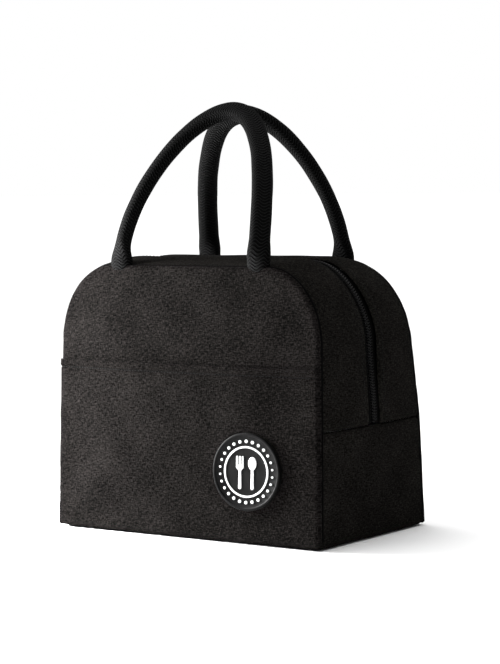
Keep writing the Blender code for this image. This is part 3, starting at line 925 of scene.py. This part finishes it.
def soften(name, material, width, segments=3):
    """Gives a CAD piece that stays in view its material and rounded edges."""
    obj = frame["nodes"][name]
    obj.data.materials.clear()
    obj.data.materials.append(material)
    round_off = obj.modifiers.new("round", "BEVEL")
    round_off.width = width
    round_off.segments = segments
    round_off.limit_method = "ANGLE"
    obj.data.shade_smooth()


# ---------------- handles

HANDLE_SECTION = (7.5 * MM, 5.5 * MM)
HANDLE_TOP = {FRONT_SIDE: (-7.3 * MM, 302.2 * MM), BACK_SIDE: (6.4 * MM, 300.4 * MM)}  # along Y, and height
HANDLE_BOW = 1.5
HANDLE_ROUND = 1.8
HANDLE_ROOT = 9.5 * MM  # how far the webbing goes down inside the seam
HANDLE_RINGS = 150
HANDLE_SIDES = 28
FLARE_REACH = 20 * MM  # the length over which a foot flattens
FLARE = (1.6 * MM, 0.9 * MM)  # how much wider and how much thinner it gets
SECTION_POWER = 0.88  # below 1, the section is a little squarer than an ellipse


def handle_line(side):
    """The middle line of a handle, from inside the seam at its right foot to inside it at its left."""
    foot = HANDLE_FOOT[side]
    top_y, top_z = HANDLE_TOP[side]
    angle = np.linspace(0, math.pi, HANDLE_RINGS)
    up = np.minimum(np.sin(angle), 1)
    x = foot.x * np.sign(np.cos(angle)) * np.sqrt(1 - up**HANDLE_ROUND)
    arch = np.stack([x, foot.y + (top_y - foot.y) * up**HANDLE_BOW, foot.z + (top_z - foot.z) * up], 1)
    root = np.linspace(foot.z - HANDLE_ROOT, foot.z, 8)[:-1]
    below = np.stack([np.full(len(root), foot.x), np.full(len(root), foot.y), root], 1)
    return np.concatenate([below, arch, below[::-1] * np.array([-1, 1, 1])])


def handle_axes(line, side, flare):
    """The directions of a handle's wide and thin sides, which turn to lie along the seam at its feet."""
    along = unit(np.gradient(line, axis=0))
    outwards = unit(np.array([0, side, 0]) - along * (along @ np.array([0, side, 0]))[:, None])
    inwards = np.cross(along, outwards) * side
    wide = outwards + inwards
    flat = np.tile(np.array([1.0, 0, 0]), (len(line), 1))
    flat -= along * (flat * along).sum(1, keepdims=True)
    sign = np.sign((wide * flat).sum(1, keepdims=True))
    wide = unit(unit(wide) * (1 - flare[:, None]) + flat * sign * flare[:, None])
    return wide, np.cross(along, wide)


def handle_cover(word, side):
    """A padded handle of webbing wrapped round a cord, flattened where it enters the seam."""
    line = handle_line(side)
    height = line[:, 2] - HANDLE_FOOT[side].z
    flare = smooth(1 - (height + 5 * MM) / FLARE_REACH)
    wide, thin = handle_axes(line, side, flare)
    wide_half = HANDLE_SECTION[0] + FLARE[0] * flare
    thin_half = HANDLE_SECTION[1] - FLARE[1] * flare
    angle = np.linspace(0, 2 * math.pi, HANDLE_SIDES, endpoint=False)
    c = np.sign(np.cos(angle)) * np.abs(np.cos(angle)) ** SECTION_POWER
    s = np.sign(np.sin(angle)) * np.abs(np.sin(angle)) ** SECTION_POWER
    rings = line[:, None, :] + wide[:, None, :] * (wide_half[:, None] * c)[:, :, None]
    rings = rings + thin[:, None, :] * (thin_half[:, None] * s)[:, :, None]
    unevenness = rumple(rings, 16 * MM, 17 + side) * 0.22 * MM
    rings = rings + unit(rings - line[:, None, :]) * unevenness[:, :, None]
    cover = tube(f"handle_{word}_webbing", rings, WEBBING, 40 * MM)
    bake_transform(cover)
    ends = (f"handle_{word}_end_left", f"handle_{word}_end_right")
    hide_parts(f"handle_{word}_cover", f"handle_{word}_cord", *ends)


# ---------------- badge


def badge_place():
    """The badge's frame: x across, y up the wall, z out of it, on the pocket's face."""
    tilt = Matrix.Rotation(math.pi / 2 - math.atan(WALL_LEAN[FRONT_SIDE][0]), 4, "X")
    lift = FACE_PUFF[FRONT_SIDE] * float(smooth(np.array(BADGE.z / PUFF_REACH)))
    turn = Matrix.Rotation(BADGE_TURN, 4, "Y")
    return Matrix.Translation((BADGE.x, BADGE.y - lift, BADGE.z)) @ tilt @ turn


def turned(name, profile, material, place, turns=96):
    """A solid of revolution about z, from a profile of (radius, height) that starts on its underside."""
    angle = np.linspace(0, 2 * math.pi, turns, endpoint=False)
    points = [(r * math.cos(a), r * math.sin(a), h) for r, h in profile for a in angle]
    mesh = mesh_from(name, points, bar_faces(0, len(profile), turns))
    obj = new_piece(name, cleaned(mesh), material)
    obj.data.set_sharp_from_angle(angle=math.radians(50))
    obj.matrix_world = place
    return obj


def flat_relief(name, loops, thickness, place):
    """Raised white artwork from flat outlines, with softened edges."""
    curve = bpy.data.curves.new(name, "CURVE")
    curve.dimensions = "2D"
    curve.fill_mode = "BOTH"
    curve.extrude = thickness / 2
    curve.bevel_depth = ART_EDGE
    curve.bevel_resolution = 1
    curve.offset = -ART_EDGE
    for loop in loops:
        spline = curve.splines.new("POLY")
        spline.points.add(len(loop) - 1)
        for point, (x, y) in zip(spline.points, loop):
            point.co = (x, y, 0, 1)
        spline.use_cyclic_u = True
    source = bpy.data.objects.new(name, curve)
    bpy.context.scene.collection.objects.link(source)
    bpy.context.view_layer.update()
    mesh = bpy.data.meshes.new_from_object(source.evaluated_get(bpy.context.evaluated_depsgraph_get()))
    bpy.data.objects.remove(source)
    mesh.materials.clear()
    obj = new_piece(name, cleaned(mesh, 1e-6, False), PRINT)
    obj.data.set_sharp_from_angle(angle=math.radians(35))
    obj.matrix_world = place
    return obj


def arc(centre, radius, start, end, count):
    """Points on a circle, or an ellipse where radius is a pair, from one angle to another in degrees."""
    rx, ry = radius if isinstance(radius, tuple) else (radius, radius)
    angles = np.radians(np.linspace(start, end, count + 1))
    return [(centre[0] + rx * math.cos(a), centre[1] + ry * math.sin(a)) for a in angles]


def spoon_outline(x):
    bowl = arc((x, 6 * MM), (3.2 * MM, 4.6 * MM), -72, 252, 40)
    foot = arc((x, -11 * MM), 1.2 * MM, 180, 360, 12)
    return bowl + foot


def fork_outline(x):
    prong, pitch, top, root = 0.65 * MM, 2.3 * MM, 10.2 * MM, 4.6 * MM
    outline = arc((x, -11 * MM), 1.2 * MM, 180, 360, 12)
    outline += [(x + 0.85 * MM, 0), (x + 1.3 * MM, 1.2 * MM), (x + pitch + prong, 2.6 * MM)]
    for k in (1, 0, -1):
        centre = x + k * pitch
        if k < 1:
            outline.append((centre + prong, root))
        outline += arc((centre, top), prong, 0, 180, 8)
        if k > -1:
            outline.append((centre - prong, root))
    outline += [(x - pitch - prong, 2.6 * MM), (x - 1.3 * MM, 1.2 * MM), (x - 0.85 * MM, 0)]
    return outline


def ring_loops(radius, width):
    return [arc((0, 0), radius + width / 2, 0, 356, 89), arc((0, 0), radius - width / 2, 0, 356, 89)]


def dot_loops(radius, size, count):
    """A circle of dots, larger at the top and bottom."""
    loops = []
    for k in range(count):
        angle = 2 * math.pi * (k + 0.5) / count
        grown = size * (0.75 + 0.45 * abs(math.sin(angle)))
        loops.append(arc((radius * math.cos(angle), radius * math.sin(angle)), grown, 0, 330, 11))
    return loops


def badge():
    """A moulded rubber badge: raised rim, sunken field, and a white ring, dots, fork and spoon."""
    place = badge_place()
    back, field, rim = -2.6 * MM, 0.7 * MM, 1.5 * MM
    r = BADGE_RADIUS
    painted_shadow = ((r - 0.5 * MM, back), (r - 0.1 * MM, back + 0.25 * MM), (r, back + 0.8 * MM), (r, rim - 0.6 * MM))
    lip = ((r - 0.2 * MM, rim - 0.2 * MM), (r - 0.6 * MM, rim), (r - 1.5 * MM, rim))
    step = ((r - 1.9 * MM, rim - 0.2 * MM), (r - 2.1 * MM, field + 0.1 * MM), (r - 2.3 * MM, field))
    profile = (*painted_shadow, *lip, *step, (r * 0.5, field), (1 * MM, field))
    disc = turned("badge_moulding", profile, RUBBER, place)
    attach(disc, "base")
    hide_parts("badge_disc")
    art = place @ Matrix.Translation((0, 0, field + 0.15 * MM))
    pieces = (
        ("badge_ring_print", ring_loops(17.2 * MM, 1.3 * MM), "badge_ring"),
        ("badge_spoon_print", [spoon_outline(5 * MM)], "badge_spoon"),
        ("badge_fork_print", [fork_outline(-5 * MM)], "badge_fork"),
        ("badge_dots_print", dot_loops(21.2 * MM, 1.0 * MM, 26), None),
    )
    for name, loops, node in pieces:
        made = flat_relief(name, loops, 0.5 * MM, art)
        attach(made, "base")
        if node:
            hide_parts(node)


# ---------------- lining


def lining_wall(word, side, seed):
    """The foil lining behind a front or back panel."""
    heights = np.concatenate([
        np.linspace(LINING_INSET, SHOULDER, FOIL_ROWS),
        SHOULDER + (CORNER_HEIGHT - LINING_INSET) * np.sin(np.linspace(0, math.pi / 2, 14))[1:],
    ])
    z = np.repeat(heights[:, None], FOIL_COLUMNS, axis=1)
    dz = np.clip((z - SHOULDER) / (CORNER_HEIGHT - LINING_INSET), 0, 1)
    top = CORNER_X + (CORNER_WIDTH - LINING_INSET) * np.sqrt(1 - dz * dz)
    wide = np.where(z > SHOULDER, top, half_width(z) - LINING_INSET)
    x = wide * np.linspace(-1, 1, FOIL_COLUMNS)[None, :]
    points = np.stack([x, side * (half_depth(z, side) - LINING_INSET - LINING), z], 2)
    slack = FOIL_WAVES[0] * (1 + rumple(points, FOIL_WAVES[1], seed))
    points[:, :, 1] -= side * slack * smooth((wide - np.abs(x)) / (9 * MM))
    lining = thick_cloth(f"{word}_foil", points, -LINING, FOIL, (0, -side, 0))
    lining_ready(lining, f"{word}_lining_lower", f"{word}_lining_upper")
    hang_from_fold(lining)


def lining_ready(lining, *nodes):
    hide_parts(*nodes)


def no_drop(y, _):
    return 0.0 * y


def lining_band(name, rail, edges, seed):
    """Foil along a band: its visible face is the inner one."""
    points = band_grid(rail, edges, lambda part, z: SIDE_SWELL * 0.4 * part, no_drop, seed, False)
    return thick_cloth(name, points, LINING, FOIL, (0, 0, 1))


def linings():
    for word, side, seed in (("front", FRONT_SIDE, 41), ("back", BACK_SIDE, 45)):
        lining_wall(word, side, seed)

        def edges(z, side=side):
            near = side * zip_middle(z) + 9 * MM
            return side * np.linspace(near, half_depth(z, side) - LINING_INSET - 2 * LINING, 14)

        band = lining_band(f"gusset_{word}_foil", arch_rail(LINING_INSET, COARSE), edges, seed + 2)
        hang_from_fold(band)
        lining_ready(band, f"gusset_{word}_lining")
    rail = trough_rail(FOLD - SEAM_GAP, LINING_INSET, COARSE)

    def across(z):
        front, back = (half_depth(z, side) - LINING_INSET - 2 * LINING for side in (FRONT_SIDE, BACK_SIDE))
        return np.linspace(-front, back, 30)

    base = lining_band("base_foil", rail, across, 49)
    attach(base, "base")
    lining_ready(base, "base_band_lining")


def bindings():
    """The woven tape that covers the seams inside."""
    thickness, width = BINDING
    for word, side in WALLS:

        def edges(z, side=side):
            far = half_depth(z, side) - LINING_INSET - 3 * LINING
            return side * np.linspace(far - width, far, 6)

        for part, rail in (
            ("upper", arch_rail(BINDING_INSET, COARSE)),
            ("lower", trough_rail(FOLD - SEAM_GAP, BINDING_INSET, COARSE)),
        ):
            points = band_grid(rail, edges, lambda part, z: 0.0, no_drop, 53, False)
            outward = (0, 0, 1) if part == "upper" else (0, 0, -1)
            strip = thick_cloth(f"binding_{word}_{part}_tape", points, thickness, BINDING_TAPE, outward)
            if part == "upper":
                hang_from_fold(strip)
            else:
                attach(strip, "base")
            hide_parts(f"binding_{word}_{part}")


# ---------------- stage

CAMERA_TARGET = Vector((9.4, 0, 142.2)) * MM
CAMERA_DISTANCE = 1.614
CAMERA_TURN = math.radians(34.9)
CAMERA_RISE = math.radians(3.9)
CAMERA_ROLL = math.radians(-0.68)
CAMERA_LENS = 120.2
WORLD_FILL = 0.18


def camera():
    flat = math.cos(CAMERA_RISE)
    back = Vector((math.sin(CAMERA_TURN) * flat, -math.cos(CAMERA_TURN) * flat, math.sin(CAMERA_RISE)))
    data = bpy.data.cameras.new("camera")
    data.lens = CAMERA_LENS
    data.clip_start = 0.05
    obj = bpy.data.objects.new("camera", data)
    turn = (-back).to_track_quat("-Z", "Y").to_matrix().to_4x4()
    place = Matrix.Translation(CAMERA_TARGET + back * CAMERA_DISTANCE)
    obj.matrix_world = place @ turn @ Matrix.Rotation(CAMERA_ROLL, 4, "Z")
    bpy.context.scene.collection.objects.link(obj)
    bpy.context.scene.camera = obj


def light(name, kind, place, target, energy, **settings):
    data = bpy.data.lights.new(name, kind)
    data.energy = energy
    for key, value in settings.items():
        setattr(data, key, value)
    obj = bpy.data.objects.new(name, data)
    obj.location = place
    obj.rotation_euler = (Vector(target) - Vector(place)).to_track_quat("-Z", "Y").to_euler()
    obj.visible_camera = False
    bpy.context.scene.collection.objects.link(obj)


def floor():
    mesh = bpy.data.meshes.new("floor")
    half = 30.0
    corners = [(-half, -half, 0), (half, -half, 0), (half, half, 0), (-half, half, 0)]
    mesh.from_pydata(corners, [], [(0, 1, 2, 3)])
    made = Nodes("floor", (0.9, 0.9, 0.9), 0.9)
    made.set("Specular IOR Level", 0.1)
    obj = new_piece("floor", mesh, made.material)
    obj.location.z = -0.2 * MM


def world():
    """A white surround for the eye, which lights the bag only a little."""
    made = bpy.data.worlds.new("studio")
    made.use_nodes = True
    tree = made.node_tree
    seen = tree.nodes["Background"]
    fill = tree.nodes.new("ShaderNodeBackground")
    for background, strength in ((seen, 1.0), (fill, WORLD_FILL)):
        background.inputs["Color"].default_value = (1, 1, 1, 1)
        background.inputs["Strength"].default_value = strength
    mix = tree.nodes.new("ShaderNodeMixShader")
    path = tree.nodes.new("ShaderNodeLightPath")
    tree.links.new(path.outputs["Is Camera Ray"], mix.inputs[0])
    tree.links.new(fill.outputs[0], mix.inputs[1])
    tree.links.new(seen.outputs[0], mix.inputs[2])
    tree.links.new(mix.outputs[0], tree.nodes["World Output"].inputs["Surface"])
    bpy.context.scene.world = made


def lights():
    """A broad, soft light from above, a key that rakes across the front, and a weak fill behind."""
    light("overhead", "SUN", (-0.3, 0.0, 1.0), (0, 0, 0), 4.0, angle=math.radians(70))
    light("key", "AREA", (-0.35, -0.17, 0.18), (-0.06, -0.06, 0.12), 11.5, shape="DISK", size=0.2)
    light("back_fill", "AREA", (0.2, 1.2, 0.6), (0, 0.05, 0.12), 3, shape="DISK", size=0.6)


# ---------------- the bag

camera()
world()
lights()
floor()
bpy.context.scene.view_settings.view_transform = "Standard"

base_cover()
for word, side, seed in (("front", FRONT_SIDE, 1), ("back", BACK_SIDE, 5)):
    face_cover(word, side, seed)
    gusset_points = gusset_cover(word, side, seed + 10)
    gusset_topstitch(word, gusset_points)
    # painted shadow strips in the seams' grooves
    seam_shadow_strip(word, side)
    zip_tape(word, side)
    zip_coil(word, side)
    handle_cover(word, side)
pocket_cover()
badge()
linings()
bindings()
soften("zip_slider", METAL, 0.25 * MM)
soften("zip_pull", METAL, 0.3 * MM)
